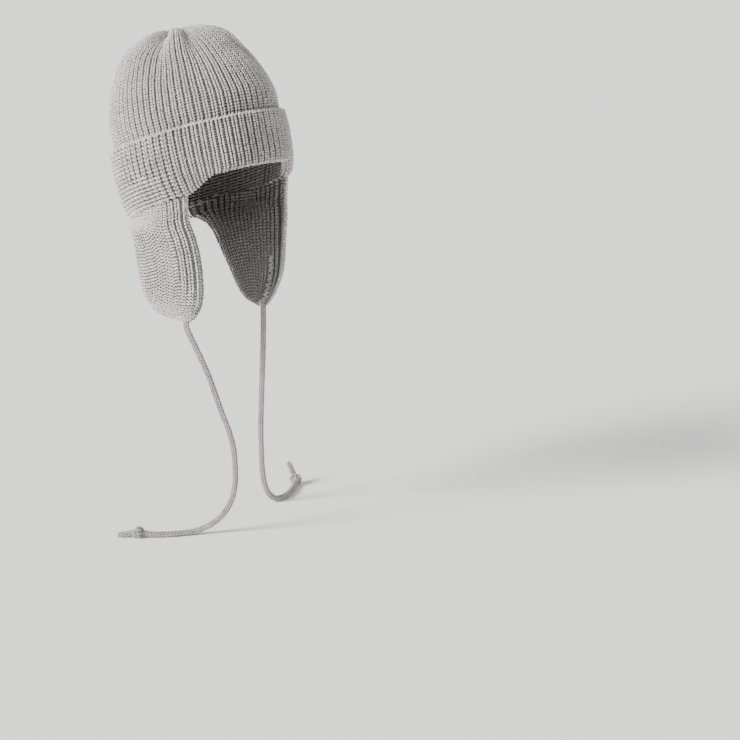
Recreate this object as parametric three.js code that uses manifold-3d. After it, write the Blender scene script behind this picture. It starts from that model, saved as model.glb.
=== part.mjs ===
// Knitted aviator hat: ribbed crown gathered at the top, turned-up band, two padded ear flaps
// and a knotted tie cord on each flap. Millimetres, +Z up, the front faces -Y and the wearer's
// left is +X. The origin is the centre of the head opening, at the rim.
import * as THREE from "three";
import Module from "manifold-3d";
import { mergeVertices } from "three/addons/utils/BufferGeometryUtils.js";

// Driving dimensions
const hatWidth = 172; // side to side over the band
const hatLength = 183; // front to back over the band
const bandHeight = 54; // turned-up band, rim to top edge
const bandLean = 10; // how far the band's top edge lies behind the rim
const bandWall = 5;
const crownRise = 106; // band's top edge to the highest part of the crown
const crownLean = 35; // how far the gather lies behind the band's top edge
const crownWall = 4.5;
const hatTilt = 21; // degrees that the rim rises towards the front
const ribCount = 68;
const ribDepth = 1.8;
const foldDepth = 17; // how deep the pleats at the gather are
const gatherRadius = 7;
const rimSag = 14; // how much lower the rim runs where the flaps hang from it
const flapDrop = 129.5; // rim to the bottom of a flap
const flapReach = 100; // front to back over a flap
const flapSpread = 56; // centre line of the hat to the middle of a flap
const flapThickness = 20;
const leftSwing = 30; // how much further forward the left flap hangs, at most
const cordDiameter = 6;
const knotWidth = 13.5;
const tailLength = 20; // knot's middle to the end of the cord
const gap = 0.3; // between pieces that touch

// Crown gathers and wall under the band follow the rim, so their sizes come from it
const halfWidth = hatWidth / 2;
const halfLength = hatLength / 2;
const tiltSlope = Math.tan(THREE.MathUtils.degToRad(hatTilt));

// Rings of the band from the rim up. level and back are shares of bandHeight and bandLean, width
// and length are shares of the half width and half length, tilt is a share of the rim's slope,
// sag a share of rimSag, taper narrows the ring towards the nape, and rounding is its
// superellipse exponent.
const bandRings = [
  { level: 0.0, back: 0.0, width: 0.875, length: 1.0, tilt: 1.0, sag: 1.0, taper: 0.4, rounding: 2.65 },
  { level: 0.25, back: 0.12, width: 0.96, length: 0.99, tilt: 0.98, sag: 0.5, taper: 0.2, rounding: 2.45 },
  { level: 0.55, back: 0.3, width: 1.0, length: 0.97, tilt: 0.92, sag: 0.15, taper: 0.05, rounding: 2.3 },
  { level: 0.8, back: 0.65, width: 0.995, length: 0.97, tilt: 0.93, sag: 0, taper: 0, rounding: 2.25 },
  { level: 1.0, back: 1.0, width: 0.975, length: 0.975, tilt: 0.93, sag: 0, taper: 0, rounding: 2.25 },
];
// Where the rim starts to sag before a flap, and where it is level again, in degrees from there
const sagAngles = { before: 26, behind: 25 };

// Rings of the crown above the band. level is a share of crownRise, back a share of crownLean and
// fold a share of foldDepth; the others are as above.
const crownRings = [
  { level: 0.03, back: 0.0, width: 0.905, length: 0.915, tilt: 0.97, fold: 0.0, rounding: 2.2 },
  { level: 0.14, back: 0.12, width: 0.912, length: 0.94, tilt: 0.87, fold: 0.0, rounding: 2.2 },
  { level: 0.29, back: 0.25, width: 0.9, length: 0.94, tilt: 0.74, fold: 0.03, rounding: 2.15 },
  { level: 0.46, back: 0.37, width: 0.87, length: 0.875, tilt: 0.6, fold: 0.1, rounding: 2.1 },
  { level: 0.62, back: 0.48, width: 0.805, length: 0.785, tilt: 0.47, fold: 0.22, rounding: 2.1 },
  { level: 0.74, back: 0.59, width: 0.735, length: 0.69, tilt: 0.45, fold: 0.42, rounding: 2.05 },
  { level: 0.825, back: 0.64, width: 0.66, length: 0.595, tilt: 0.54, fold: 0.65, rounding: 2.0 },
  { level: 0.895, back: 0.66, width: 0.565, length: 0.485, tilt: 0.64, fold: 0.85, rounding: 2.0 },
  { level: 0.94, back: 0.7, width: 0.45, length: 0.37, tilt: 0.74, fold: 0.95, rounding: 2.0 },
  { level: 0.96, back: 0.78, width: 0.32, length: 0.26, tilt: 0.72, fold: 0.9, rounding: 2.0 },
  { level: 0.955, back: 0.88, width: 0.2, length: 0.165, tilt: 0.55, fold: 0.62, rounding: 2.0 },
  { level: 0.925, back: 0.98, width: 0.1, length: 0.09, tilt: 0.35, fold: 0.25, rounding: 2.0 },
];

// Pleats where the crown is drawn together: angle from the front towards the wearer's left and
// half width, both in degrees, and depth as a share of foldDepth.
const pleats = [
  { angle: 30, halfWidth: 13, depth: 0.8 },
  { angle: 98, halfWidth: 15, depth: 0.3 },
  { angle: 155, halfWidth: 12, depth: 0.85 },
  { angle: 202, halfWidth: 14, depth: 0.6 },
  { angle: 290, halfWidth: 13, depth: 1.0 },
  { angle: 328, halfWidth: 11, depth: 0.75 },
];

// Rows of a flap from the rim down. front and rear are shares of flapReach, their drops shares of
// flapDrop, spread of flapSpread and thick of flapThickness. frontSwing and rearSwing, shares of
// leftSwing, are how much further forward the left flap hangs. bow is how far the ends turn in
// towards the neck, as a share of flapSpread, and rim how much of the row follows the rim's arc.
const flapRows = [
  { front: -0.36, frontDrop: 0, rear: 0.64, rearDrop: 0, frontSwing: 0.73, rearSwing: 0.07, spread: 1.13, thick: 0.49, bow: 0.1, rim: 1 },
  { front: -0.31, frontDrop: 0.069, rear: 0.56, rearDrop: 0.332, frontSwing: 1.03, rearSwing: 0, spread: 1.09, thick: 0.6, bow: 0.12, rim: 0.7 },
  { front: -0.285, frontDrop: 0.116, rear: 0.53, rearDrop: 0.355, frontSwing: 1.18, rearSwing: 0.07, spread: 1.06, thick: 0.7, bow: 0.12, rim: 0.4 },
  { front: -0.29, frontDrop: 0.185, rear: 0.505, rearDrop: 0.378, frontSwing: 1.22, rearSwing: 0.15, spread: 1.035, thick: 0.8, bow: 0.1, rim: 0.17 },
  { front: -0.32, frontDrop: 0.255, rear: 0.485, rearDrop: 0.417, frontSwing: 1.13, rearSwing: 0.28, spread: 1.01, thick: 0.88, bow: 0.08, rim: 0.05 },
  { front: -0.365, frontDrop: 0.34, rear: 0.465, rearDrop: 0.471, frontSwing: 0.98, rearSwing: 0.45, spread: 0.985, thick: 0.94, bow: 0.07, rim: 0 },
  { front: -0.415, frontDrop: 0.448, rear: 0.445, rearDrop: 0.541, frontSwing: 0.8, rearSwing: 0.6, spread: 0.97, thick: 0.98, bow: 0.06, rim: 0 },
  { front: -0.455, frontDrop: 0.571, rear: 0.42, rearDrop: 0.625, frontSwing: 0.62, rearSwing: 0.75, spread: 0.97, thick: 1, bow: 0.05, rim: 0 },
  { front: -0.485, frontDrop: 0.687, rear: 0.385, rearDrop: 0.71, frontSwing: 0.42, rearSwing: 0.85, spread: 0.985, thick: 1, bow: 0.045, rim: 0 },
  { front: -0.495, frontDrop: 0.78, rear: 0.35, rearDrop: 0.788, frontSwing: 0.23, rearSwing: 0.92, spread: 0.995, thick: 1, bow: 0.04, rim: 0 },
  { front: -0.48, frontDrop: 0.861, rear: 0.305, rearDrop: 0.861, frontSwing: 0.1, rearSwing: 0.95, spread: 1, thick: 0.95, bow: 0.035, rim: 0 },
  { front: -0.445, frontDrop: 0.923, rear: 0.23, rearDrop: 0.923, frontSwing: 0.05, rearSwing: 0.9, spread: 1, thick: 0.84, bow: 0.03, rim: 0 },
  { front: -0.4, frontDrop: 0.973, rear: 0.12, rearDrop: 0.973, frontSwing: 0.05, rearSwing: 0.8, spread: 1, thick: 0.65, bow: 0.02, rim: 0 },
  { front: -0.36, frontDrop: 1, rear: -0.08, rearDrop: 1, frontSwing: 0.07, rearSwing: 0.47, spread: 1, thick: 0.42, bow: 0, rim: 0 },
];
// Where the flaps hang from the rim, in degrees from the front
const flapOnRim = { right: { from: 68, to: 137 }, left: { from: 50, to: 137 } };

// Tie cords. Each route starts at the flap's bottom and ends at the knot. x, y and z are in mm
// from the point where the cord leaves the flap.
const cordExitY = { right: -30.5, left: -33 };
const rightRoute = [
  [0, 0, 0],
  [0.1, -0.3, -7],
  [1.8, -4.4, -17],
  [4, -9.2, -27],
  [7.4, -15.4, -41.5],
  [12.2, -20.8, -58.7],
  [17.4, -26.4, -80.7],
  [22, -31, -99.6],
  [26.3, -35.2, -115.5],
  [29.4, -38.4, -132],
  [30.8, -39.8, -149],
  [30.9, -40.2, -169],
  [28.2, -38.2, -188],
  [22, -33.2, -203.5],
  [12.6, -25, -215],
  [0, -16, -221.4],
  [-12, -9, -223],
  [-24, -1.8, -223],
  [-33.5, 5.4, -223],
  [-39.8, 11.2, -222.6],
  [-45, 16.6, -221.4],
];
const leftRoute = [
  [0, 0, 0],
  [0.6, 0.6, -12],
  [2, 1.6, -31],
  [3.2, 3.8, -69],
  [4.4, 6.4, -108],
  [6, 8.4, -142],
  [8, 9.4, -163.5],
  [10.2, 10, -185],
  [13.4, 9.4, -203],
  [18.5, 7.4, -215.6],
  [26, 5.2, -221.8],
  [34.5, 4.6, -223],
  [45, 6.6, -223],
  [55.2, 11.2, -223],
  [65, 16.8, -223],
  [73.5, 22.2, -223],
  [79.2, 26, -222.6],
  [84, 29.4, -221.4],
];
const cordSides = 8;
const cordStep = 2.5; // length of one step along the cord, in cord diameters

const woolColour = 0xb9b7b0;
const knitMaterial = () =>
  new THREE.MeshStandardMaterial({ color: woolColour, roughness: 0.95, metalness: 0 });

// A value of one named column at a place between two rows of a table, eased through its neighbours
function between(table, column, place) {
  const last = table.length - 1;
  const i = Math.min(Math.floor(place), last - 1);
  const t = place - i;
  const at = (k) => table[THREE.MathUtils.clamp(k, 0, last)][column];
  const slopeA = (at(i + 1) - at(i - 1)) / 2;
  const slopeB = (at(i + 2) - at(i)) / 2;
  const t2 = t * t;
  const t3 = t2 * t;
  return (
    at(i) * (2 * t3 - 3 * t2 + 1) + slopeA * (t3 - 2 * t2 + t) + at(i + 1) * (3 * t2 - 2 * t3) + slopeB * (t3 - t2)
  );
}

const signedPower = (value, power) => Math.sign(value) * Math.abs(value) ** power;

// How far the rim sags at an angle, from 0 to 1: it runs down to a flap and up again behind it
function sagAt(angle) {
  const turned = ((((angle + 180) % 360) + 360) % 360) - 180;
  const { from, to } = turned > 0 ? flapOnRim.left : flapOnRim.right;
  const down = THREE.MathUtils.smoothstep(Math.abs(turned), from - sagAngles.before, from);
  return down * (1 - THREE.MathUtils.smoothstep(Math.abs(turned), to, to + sagAngles.behind));
}

// How much the pleats draw in the crown at an angle, from 0 to about 1. spread widens them.
function pleatDepth(angle, spread) {
  let depth = 0;
  for (const pleat of pleats) {
    const away = ((((angle - pleat.angle) % 360) + 540) % 360) - 180;
    depth += pleat.depth * Math.exp(-((away / (pleat.halfWidth + spread)) ** 2));
  }
  return Math.min(depth, 1);
}

// A point of a ring at an angle in degrees from the front towards the wearer's left. A ring has
// its centre (y, z), half width, half length, slope, taper, rounding, and how deep its pleats are.
function ringPoint(ring, angle, pleatSpread = 0) {
  const turn = THREE.MathUtils.degToRad(angle);
  const forward = -signedPower(Math.cos(turn), 2 / ring.rounding);
  const rear = THREE.MathUtils.smoothstep(forward, 0, 1);
  const narrowing = 1 - (ring.taper ?? 0) * rear;
  let x = ring.halfWidth * signedPower(Math.sin(turn), 2 / ring.rounding) * narrowing;
  let y = ring.halfLength * forward;
  if (ring.fold) {
    const reach = Math.hypot(x, y);
    const drawn = ring.fold * pleatDepth(angle, pleatSpread);
    const kept = 1 - Math.min(drawn / reach, 0.62);
    x *= kept;
    y *= kept;
  }
  return new THREE.Vector3(x, ring.y + y, ring.z - ring.slope * y - (ring.sag ?? 0) * sagAt(angle));
}

// Points of a ring at equal steps along it, starting at the nape. lift raises every second one.
function ringRow(ring, count, lift = 0, pleatSpread = 0) {
  const fine = count * 6;
  const points = [];
  for (let i = 0; i <= fine; i++) {
    points.push(ringPoint(ring, 180 + (360 * i) / fine, pleatSpread));
  }
  const along = [0];
  for (let i = 1; i <= fine; i++) {
    along.push(along[i - 1] + points[i].distanceTo(points[i - 1]));
  }
  const row = [];
  let i = 0;
  for (let k = 0; k < count; k++) {
    const target = (along[fine] * k) / count;
    while (along[i + 1] < target) i++;
    const t = (target - along[i]) / (along[i + 1] - along[i]);
    const point = points[i].clone().lerp(points[i + 1], t);
    const tangent = points[i + 1].clone().sub(points[i]);
    const outward = new THREE.Vector3(tangent.y, -tangent.x, 0).normalize();
    point.addScaledVector(outward, k % 2 ? -lift / 2 : lift / 2);
    row.push(point);
  }
  return row;
}

// A band ring at a place in its table, drawn in by a wall
function bandRing(place, inset) {
  return {
    y: bandLean * between(bandRings, "back", place),
    z: bandHeight * between(bandRings, "level", place),
    halfWidth: halfWidth * between(bandRings, "width", place) - inset,
    halfLength: halfLength * between(bandRings, "length", place) - inset,
    slope: tiltSlope * between(bandRings, "tilt", place),
    sag: rimSag * between(bandRings, "sag", place),
    taper: between(bandRings, "taper", place),
    rounding: between(bandRings, "rounding", place),
  };
}

// A crown ring at a place in its table. inset draws it in and lowers it, for the inside
function crownRing(place, inset) {
  return {
    y: bandLean + crownLean * between(crownRings, "back", place),
    z: bandHeight + crownRise * between(crownRings, "level", place) - inset * Math.min(place / 8, 1),
    halfWidth: halfWidth * between(crownRings, "width", place) - inset,
    halfLength: halfLength * between(crownRings, "length", place) - inset,
    slope: tiltSlope * between(crownRings, "tilt", place),
    fold: foldDepth * between(crownRings, "fold", place),
    rounding: between(crownRings, "rounding", place),
  };
}

// Collects rows of points into one closed mesh
class Shell {
  constructor() {
    this.points = [];
    this.faces = [];
  }
  addRow(row) {
    const first = this.points.length;
    this.points.push(...row);
    return { first, count: row.length };
  }
  at(row, k) {
    return row.first + (k % row.count);
  }
  // Joins two closed rows. The second has as many points as the first, or twice as many. Where
  // the rows go down, their quads are split the other way, so that two walls that touch match.
  bridge(a, b, down = false) {
    const twice = b.count === 2 * a.count;
    for (let k = 0; k < a.count; k++) {
      const a0 = this.at(a, k);
      const a1 = this.at(a, k + 1);
      if (twice) {
        const [b0, b1, b2] = [0, 1, 2].map((n) => this.at(b, 2 * k + n));
        this.faces.push([a0, b1, b0], [a0, a1, b1], [a1, b2, b1]);
      } else {
        const [b0, b1] = [this.at(b, k), this.at(b, k + 1)];
        this.faces.push(...(down ? [[a0, a1, b0], [a1, b1, b0]] : [[a0, a1, b1], [a0, b1, b0]]));
      }
    }
  }
  // Joins a row of twice as many points to one of half as many
  narrow(a, b) {
    for (let k = 0; k < b.count; k++) {
      const [a0, a1, a2] = [0, 1, 2].map((n) => this.at(a, 2 * k + n));
      const b0 = this.at(b, k);
      const b1 = this.at(b, k + 1);
      this.faces.push([a0, a1, b0], [a1, b1, b0], [a1, a2, b1]);
    }
  }
  // Closes a row with a point. facing is 1 where the row turns the same way as the sides above it.
  cap(row, point, facing) {
    const tip = this.addRow([point]).first;
    for (let k = 0; k < row.count; k++) {
      const pair = facing > 0 ? [this.at(row, k), tip] : [tip, this.at(row, k)];
      this.faces.push([...pair, this.at(row, k + 1)]);
    }
  }
  // Closes a flat row by strips from one long side to the other
  ladder(row, facing) {
    const half = row.count / 2;
    for (let k = 0; k < half; k++) {
      const [p, q] = [this.at(row, k), this.at(row, k + 1)];
      const [r, s] = [this.at(row, row.count - k), this.at(row, row.count - k - 1)];
      if (p !== r) this.faces.push(facing > 0 ? [p, q, r] : [p, r, q]);
      if (q !== s) this.faces.push(facing > 0 ? [q, s, r] : [q, r, s]);
    }
  }
  geometry() {
    const geometry = new THREE.BufferGeometry();
    const places = new Float32Array(this.points.length * 3);
    this.points.forEach((point, i) => point.toArray(places, i * 3));
    geometry.setAttribute("position", new THREE.BufferAttribute(places, 3));
    geometry.setIndex(this.faces.flat());
    geometry.computeVertexNormals();
    return geometry;
  }
}

function mean(row) {
  const centre = new THREE.Vector3();
  row.forEach((point) => centre.add(point));
  return centre.divideScalar(row.length);
}

// The crown: a skirt that lies inside the band, and above it the ribbed dome with its pleats
function makeCrown() {
  const shell = new Shell();
  const skirtInset = bandWall + gap;
  const columns = ribCount * 2;
  const innerPlaces = [9, 7.5, 5.5, 3, 0];
  const innerPleatSpread = 5;
  const insideRows = innerPlaces.map((place) =>
    ringRow(crownRing(place, crownWall), ribCount, 0, innerPleatSpread),
  );
  const skirtTops = [4, 2.5, 1, 0];
  insideRows.push(...skirtTops.map((place) => ringRow(bandRing(place, skirtInset + crownWall), ribCount)));
  const outsideRows = [...skirtTops].reverse().map((place) => ringRow(bandRing(place, skirtInset), ribCount));
  const domeRows = crownRings.map((ring, place) =>
    ringRow(crownRing(place, 0), columns, place < crownRings.length - 1 ? ribDepth : ribDepth / 3),
  );
  let previous = null;
  for (const row of [...insideRows, ...outsideRows]) {
    const added = shell.addRow(row);
    if (previous) shell.bridge(previous, added);
    else shell.cap(added, mean(row), 1);
    previous = added;
  }
  for (const row of domeRows) {
    const added = shell.addRow(row);
    shell.bridge(previous, added);
    previous = added;
  }
  const top = mean(domeRows.at(-1));
  shell.cap(previous, top.setZ(top.z - gatherRadius / 2), -1);
  return shell.geometry();
}

// The band: a ribbed wall from the rim to the cast-on edge
function makeBand() {
  const shell = new Shell();
  const columns = ribCount * 2;
  const last = bandRings.length - 1;
  const edge = bandWall * 0.3;
  const inside = [last, 2.5, 1, 0].map((place) => ringRow(bandRing(place, bandWall), ribCount));
  const outside = [0, 0.6, 1.4, 2.2, 3.1, last].map((place) => {
    const atEdge = place === 0 || place === last;
    return ringRow(bandRing(place, atEdge ? edge : 0), columns, atEdge ? ribDepth / 2 : ribDepth);
  });
  const rows = inside.map((row) => shell.addRow(row));
  rows.slice(1).forEach((row, i) => shell.bridge(rows[i], row, true));
  const outer = outside.map((row) => shell.addRow(row));
  shell.bridge(rows.at(-1), outer[0]);
  outer.slice(1).forEach((row, i) => shell.bridge(outer[i], row));
  shell.narrow(outer.at(-1), rows[0]);
  return shell.geometry();
}

// Middle of the two walls on the rim, at a share of the way along a flap's top, and the outward
// direction there, both turned to the left side
function rimPlace(side, share) {
  const walls = bandWall + gap + crownWall;
  const ring = bandRing(0, walls / 2);
  const { from, to } = side > 0 ? flapOnRim.left : flapOnRim.right;
  const angle = side * (from + (to - from) * share);
  const point = ringPoint(ring, angle);
  const ahead = ringPoint(ring, angle + side).sub(point);
  for (const vector of [point, ahead]) vector.x *= side;
  return { point, outward: new THREE.Vector3(ahead.y, -ahead.x, 0).normalize() };
}

// A place in a flap on the left side: share along it from the front, and how far out of its middle
function flapPlace(side, row, share, out) {
  const swing = side > 0 ? leftSwing : 0;
  const front = row.front * flapReach - swing * row.frontSwing;
  const rear = row.rear * flapReach - swing * row.rearSwing;
  const y = front + (rear - front) * share;
  const across = flapSpread * (row.spread - row.bow * (2 * share - 1) ** 2);
  const turn = (4 * flapSpread * row.bow * (2 * share - 1)) / (rear - front);
  const hang = new THREE.Vector3(across, y, 0);
  const hangOut = new THREE.Vector3(1, turn, 0).normalize();
  const { point, outward } = rimPlace(side, share);
  const place = hang.lerp(point.clone().setZ(0), row.rim);
  place.addScaledVector(hangOut.lerp(outward, row.rim).normalize(), out);
  const drop = flapDrop * (row.frontDrop + (row.rearDrop - row.frontDrop) * share);
  place.z = row.rim === 1 ? -tiltSlope * place.y - rimSag - gap : -drop;
  return place;
}

// A flap: a padded tongue under the rim, with round edges and a flat bottom for the cord
function makeFlap(side) {
  const shell = new Shell();
  const around = 36;
  const squareness = 2 / 3.2;
  const rows = flapRows.map((row) => {
    const points = [];
    for (let i = 0; i < around; i++) {
      const turn = (2 * Math.PI * i) / around;
      const share = 0.5 - signedPower(Math.cos(turn), squareness) / 2;
      const thick = row.rim === 1 ? bandWall + gap + crownWall : flapThickness * row.thick;
      const out = (thick / 2) * signedPower(Math.sin(turn), squareness);
      const point = flapPlace(side, row, share, out);
      point.x *= side;
      points.push(point);
    }
    return shell.addRow(side < 0 ? points : [points[0], ...points.slice(1).reverse()]);
  });
  rows.slice(1).forEach((row, i) => shell.bridge(rows[i], row));
  shell.ladder(rows[0], -1);
  shell.ladder(rows.at(-1), 1);
  return shell.geometry();
}

function cordExit(side) {
  const exitY = side > 0 ? cordExitY.left : cordExitY.right;
  return new THREE.Vector3(side * flapSpread, exitY, -flapDrop - gap);
}

function cordCurve(side, route) {
  const exit = cordExit(side);
  const points = route.map(([x, y, z]) => new THREE.Vector3(x, y, z).add(exit));
  return new THREE.CatmullRomCurve3(points, false, "centripetal");
}

function circleShape(radius, sides) {
  const shape = new THREE.Shape();
  for (let i = 0; i < sides; i++) {
    const turn = (2 * Math.PI * i) / sides;
    const [x, y] = [radius * Math.cos(turn), radius * Math.sin(turn)];
    if (i) shape.lineTo(x, y);
    else shape.moveTo(x, y);
  }
  shape.closePath();
  return shape;
}

function tube(curve, radius, steps, sides) {
  return new THREE.ExtrudeGeometry(circleShape(radius, sides), {
    extrudePath: curve,
    steps,
    bevelEnabled: false,
  });
}

function makeCord(side, route) {
  const curve = cordCurve(side, route);
  const steps = Math.round(curve.getLength() / (cordStep * cordDiameter));
  return tube(curve, cordDiameter / 2, steps, cordSides);
}

const wasm = await Module();
wasm.setup();

function toSolid(geometry) {
  const bare = geometry.clone();
  bare.deleteAttribute("normal");
  bare.deleteAttribute("uv");
  const merged = mergeVertices(bare, 1e-4);
  return new wasm.Manifold(
    new wasm.Mesh({
      numProp: 3,
      vertProperties: new Float32Array(merged.attributes.position.array),
      triVerts: new Uint32Array(merged.index.array),
    }),
  );
}

function toGeometry(solid) {
  const mesh = solid.getMesh();
  const geometry = new THREE.BufferGeometry();
  geometry.setAttribute("position", new THREE.BufferAttribute(new Float32Array(mesh.vertProperties), 3));
  geometry.setIndex(Array.from(mesh.triVerts));
  geometry.computeVertexNormals();
  return geometry;
}

// The overhand knot at a cord's end: two leaning wraps round the cord, and the tail beyond them.
// Made along +X from the cord's end, then turned to its place.
function makeKnot(side, route, tailRise, tailTurn) {
  const radius = cordDiameter / 2;
  const wrapRadius = knotWidth / 2 - radius;
  const middle = knotWidth / 2;
  const level = tailLength * Math.cos(tailRise);
  const tailEnd = new THREE.Vector3(
    middle + level * Math.cos(tailTurn),
    level * Math.sin(tailTurn),
    tailLength * Math.sin(tailRise),
  );
  const core = new THREE.CatmullRomCurve3([
    new THREE.Vector3(0, 0, 0),
    new THREE.Vector3(middle / 2, 0, 0),
    new THREE.Vector3(middle, 0, 0),
    tailEnd,
  ]);
  let knot = toSolid(tube(core, radius * 0.96, 6, cordSides));
  for (const lean of [-1, 1]) {
    const wrap = new THREE.TorusGeometry(wrapRadius, radius, 6, 12);
    wrap.rotateY(Math.PI / 2);
    wrap.rotateZ(lean * 0.42);
    wrap.translate(middle - lean * radius * 0.45, 0, 0);
    knot = knot.add(toSolid(wrap));
  }
  const middleFill = new THREE.SphereGeometry(wrapRadius + radius * 0.4, 10, 6);
  middleFill.translate(middle, 0, 0);
  knot = knot.add(toSolid(middleFill));
  const geometry = toGeometry(knot);
  const curve = cordCurve(side, route);
  const end = curve.getPointAt(1);
  const along = curve.getTangentAt(1);
  geometry.rotateY(-Math.asin(along.z));
  geometry.rotateZ(Math.atan2(along.y, along.x));
  end.addScaledVector(along, gap);
  geometry.translate(end.x, end.y, end.z);
  return geometry;
}

const group = new THREE.Group();

function addPiece(name, geometry) {
  const piece = new THREE.Mesh(geometry, knitMaterial());
  piece.name = name;
  group.add(piece);
}

addPiece("crown", makeCrown());
addPiece("band", makeBand());
for (const { name, side, route, tailRise, tailTurn } of [
  { name: "left", side: 1, route: leftRoute, tailRise: 0.98, tailTurn: 0.9 },
  { name: "right", side: -1, route: rightRoute, tailRise: -0.33, tailTurn: 0 },
]) {
  addPiece(`ear_flap_${name}`, makeFlap(side));
  addPiece(`cord_${name}`, makeCord(side, route));
  addPiece(`knot_${name}`, makeKnot(side, route, tailRise, tailTurn));
}

export default group;
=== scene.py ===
import bmesh
import bpy
import numpy as np
from mathutils import Matrix, Vector


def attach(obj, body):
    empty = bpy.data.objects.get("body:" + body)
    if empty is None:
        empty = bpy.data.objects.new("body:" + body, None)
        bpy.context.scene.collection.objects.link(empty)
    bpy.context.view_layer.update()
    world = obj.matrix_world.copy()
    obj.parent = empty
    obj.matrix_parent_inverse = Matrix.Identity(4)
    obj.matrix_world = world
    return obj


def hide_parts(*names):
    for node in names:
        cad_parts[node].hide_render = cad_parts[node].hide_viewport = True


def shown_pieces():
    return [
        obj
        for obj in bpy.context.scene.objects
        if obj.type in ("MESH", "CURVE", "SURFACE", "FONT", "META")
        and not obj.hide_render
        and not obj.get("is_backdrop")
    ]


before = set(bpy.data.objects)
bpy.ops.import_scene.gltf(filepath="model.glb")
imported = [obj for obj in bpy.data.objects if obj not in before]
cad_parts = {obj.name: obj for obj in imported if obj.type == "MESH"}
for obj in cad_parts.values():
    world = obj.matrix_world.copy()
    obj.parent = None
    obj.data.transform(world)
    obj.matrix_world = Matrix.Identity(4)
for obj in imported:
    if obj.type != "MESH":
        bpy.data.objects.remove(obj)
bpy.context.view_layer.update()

scene = bpy.context.scene
rng = np.random.default_rng(4743)
millimetre = 0.001
print("frame loaded")

# Camera and light, in metres

cameraSettings = {
    "location": (-1.69423, -1.68212, 0.41200),
    "rotation": (1.321309, -0.016972, -0.858154),
    "lens": 113.393,
    "sensor": 36,
}
camera = bpy.data.objects.new("camera", bpy.data.cameras.new("camera"))
camera.location = cameraSettings["location"]
camera.rotation_euler = cameraSettings["rotation"]
camera.data.lens = cameraSettings["lens"]
camera.data.sensor_width = cameraSettings["sensor"]
scene.collection.objects.link(camera)
scene.camera = camera

lightSettings = {
    "room": 0.62,
    "key": {"from": (-0.80, 0.30, 0.46), "away": 2, "spread": 20, "power": 6.9, "colour": (1, 0.99, 0.965)},
}
key = lightSettings["key"]
lamp = bpy.data.lights.new("key", "SUN")
lamp.angle = np.radians(key["spread"])
lamp.energy = key["power"]
lamp.color = key["colour"]
lampObject = bpy.data.objects.new("key", lamp)
lampObject.location = Vector(key["from"]) * key["away"]
lampObject.rotation_euler = (-Vector(key["from"])).to_track_quat("-Z", "Y").to_euler()
scene.collection.objects.link(lampObject)

room = bpy.data.worlds.new("room")
room.use_nodes = True
room.node_tree.nodes["Background"].inputs["Color"].default_value = (1, 1, 1, 1)
room.node_tree.nodes["Background"].inputs["Strength"].default_value = lightSettings["room"]
scene.world = room

# Sizes of the hat in millimetres, as its solids have them. Ring tables and stitches are worked
# out in millimetres, and meshes are made in metres.

hat = {
    "width": 172, "length": 183, "bandHeight": 54, "bandLean": 10, "bandWall": 5,
    "crownRise": 106, "crownLean": 35, "crownWall": 4.5, "tilt": 21, "ribs": 68,
    "foldDepth": 17, "rimSag": 14, "gap": 0.3, "floor": -355.8,
}
tiltSlope = np.tan(np.radians(hat["tilt"]))

# Pleats are sharper and deeper than in the solids, but never cut in past a share of the radius.
# Inner rings of the crown have softer pleats, and come down from the outer ones near the top.
pleatSettings = {
    "sharper": 0.82, "deeper": 1.25, "deepest": 0.62,
    "innerFrom": 3, "innerSpread": 5, "loweredFrom": 8,
}

# How a stitch is made up: widths are shares of the rib pitch, half lengths shares of the row
# height, and depths millimetres. Tone is how light or dark the yarn is, 5 either way at most; the purl
# bumps' tone is painted shade.
stitch = {
    "rowHeight": 3.3, "legAside": 0.205, "legHalfWidth": 0.15, "legHalfLength": 0.66,
    "legDepth": 1.35, "legLean": 0.3, "slant": 30, "openSlant": 20,
    # the bumps' tone darkens them: painted shade deep between the ribs
    "bumpHalfWidth": 0.25, "bumpHalfLength": 0.27, "bumpDepth": 0.8, "bumpPaintedShade": -2.2,
    "valley": 2.3, "fullPitch": 5,
    "jitter": 0.14, "leanJitter": 0.35, "outJitter": 1.2, "alongJitter": 1, "asideJitter": 0.8,
}

# How ribbing changes the stitches. At 1 it is deep 1 x 1 rib and at 0 plain knit.
ribShape = {
    "widthWhenPlain": 0.35, "widthFromRibs": 0.8, "narrowest": 0.52, "raised": 0.35,
    "fullness": 1.4, "lessWhenWide": 0.4, "openWhenUnder": (0.6, 0.2),
    "deepOver": 0.45, "sunk": 1.6, "sunkFullness": 1.25,
}


def eased(column, place):
    # a table's column read between its rows
    column = np.asarray(column, float)
    last = len(column) - 1
    row = np.minimum(np.floor(place).astype(int), last - 1)
    t = place - row
    value = lambda index: column[np.clip(index, 0, last)]
    slopeHere = (value(row + 1) - value(row - 1)) / 2
    slopeNext = (value(row + 2) - value(row)) / 2
    return (value(row) * (2 * t**3 - 3 * t**2 + 1) + slopeHere * (t**3 - 2 * t**2 + t)
            + value(row + 1) * (3 * t**2 - 2 * t**3) + slopeNext * (t**3 - t**2))


def smoothed(value, low, high):
    # 0 at low, 1 at high and an easy slope between them; low may be the larger of the two
    t = np.clip((value - low) / (high - low), 0, 1)
    return t * t * (3 - 2 * t)


def unit(vectors):
    return vectors / np.maximum(np.linalg.norm(vectors, axis=-1, keepdims=True), 1e-9)


def signedPower(value, power):
    return np.sign(value) * np.abs(value) ** power


def runAlong(points):
    # how far along a line each of its points lies
    return np.concatenate([[0], np.cumsum(np.linalg.norm(np.diff(points, axis=0), axis=1))])


def readAlong(target, along, points):
    # the line's points at the target distances
    return np.stack([np.interp(target, along, points[:, axis]) for axis in range(3)], -1)


# The band and the crown are stacks of rings, each read at places in its table

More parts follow.
